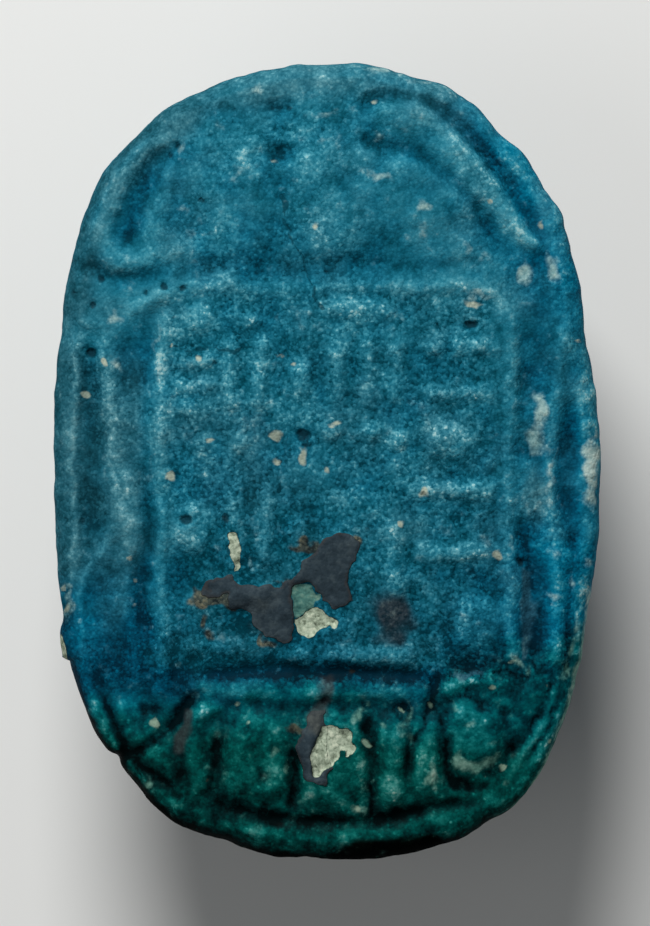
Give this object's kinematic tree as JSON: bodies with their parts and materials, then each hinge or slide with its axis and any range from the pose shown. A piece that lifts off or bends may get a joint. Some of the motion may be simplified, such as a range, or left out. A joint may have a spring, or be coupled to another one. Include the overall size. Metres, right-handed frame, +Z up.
{
  "type": "scarab amulet",
  "caption": "Large scarab amulet of blue-green glazed faience, lying on the beetle's back with its oval, carved face up.",
  "frame": {"origin": "under the middle of the bounding box, on the surface that the amulet lies on", "axes": "+Y towards the beetle's head, along the length; +X across the width; +Z up, out of the carved face"},
  "size_m": [0.033, 0.048, 0.0193],
  "materials": {
    "blue_faience": "worn turquoise glaze, matt and granular, glossy green where it pooled"
  },
  "bodies": {
    "root": {"scarab": "blue_faience"}
  },
  "joints": []
}
